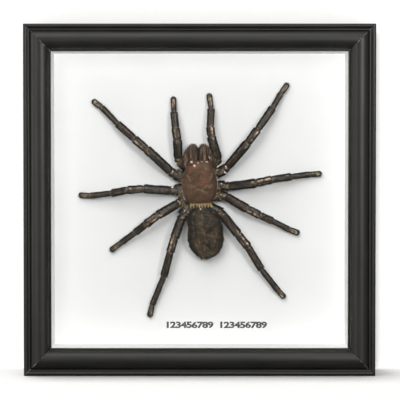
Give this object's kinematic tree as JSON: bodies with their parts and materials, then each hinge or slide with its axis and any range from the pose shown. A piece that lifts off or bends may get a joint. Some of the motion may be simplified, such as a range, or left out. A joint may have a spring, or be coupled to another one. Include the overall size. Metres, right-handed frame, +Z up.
{
  "type": "framed tarantula specimen",
  "caption": "Dried tarantula spread flat on a white card behind glass, in a small deep frame of black painted half-round moulding with a sawtooth hanger.",
  "frame": {"origin": "middle of the frame's bottom edge, halfway through its depth", "axes": "-Y out of the glazed front, +Y towards the wall, +Z up, +X to the right seen from the front"},
  "size_m": [0.168, 0.03, 0.168],
  "materials": {
    "black_painted_wood": "satin black paint over wood, worn at the mitres",
    "window_glass": "clear float glass",
    "white_foam_board": "matte white paper-faced foam board",
    "white_card": "matte off-white card with a small typed label",
    "brown_hardboard": "bare hardboard, textured back",
    "zinc_plated_steel": "dull zinc plate",
    "brass_plated_steel": "satin brass plate",
    "reddish_brown_carapace": "short velvety reddish-brown hair over cuticle",
    "dark_hairy_cuticle": "dark brown-black hairy cuticle with bare brown joints",
    "black_fang_horn": "hard glossy black horn",
    "clear_hot_glue": "hazy clear glue"
  },
  "bodies": {
    "root": {"rail_top": "black_painted_wood", "rail_bottom": "black_painted_wood", "rail_left": "black_painted_wood", "rail_right": "black_painted_wood", "glass_pane": "window_glass", "spacer_top": "white_foam_board", "spacer_bottom": "white_foam_board", "spacer_left": "white_foam_board", "spacer_right": "white_foam_board", "mount_card": "white_card", "back_board": "brown_hardboard", "steel_point_top_1": "zinc_plated_steel", "steel_point_top_2": "zinc_plated_steel", "steel_point_bottom_1": "zinc_plated_steel", "steel_point_bottom_2": "zinc_plated_steel", "steel_point_left_1": "zinc_plated_steel", "steel_point_left_2": "zinc_plated_steel", "steel_point_right_1": "zinc_plated_steel", "steel_point_right_2": "zinc_plated_steel", "sawtooth_hanger": "brass_plated_steel", "rivet_left": "brass_plated_steel", "rivet_right": "brass_plated_steel", "cephalothorax": "reddish_brown_carapace", "abdomen": "dark_hairy_cuticle", "chelicera_left": "dark_hairy_cuticle", "chelicera_right": "dark_hairy_cuticle", "fang_left": "black_fang_horn", "fang_right": "black_fang_horn", "palp_left": "dark_hairy_cuticle", "palp_right": "dark_hairy_cuticle", "leg_1_left": "dark_hairy_cuticle", "leg_1_right": "dark_hairy_cuticle", "leg_2_left": "dark_hairy_cuticle", "leg_2_right": "dark_hairy_cuticle", "leg_3_left": "dark_hairy_cuticle", "leg_3_right": "dark_hairy_cuticle", "leg_4_left": "dark_hairy_cuticle", "leg_4_right": "dark_hairy_cuticle", "glue_dab_front": "clear_hot_glue", "glue_dab_rear": "clear_hot_glue"}
  },
  "joints": []
}
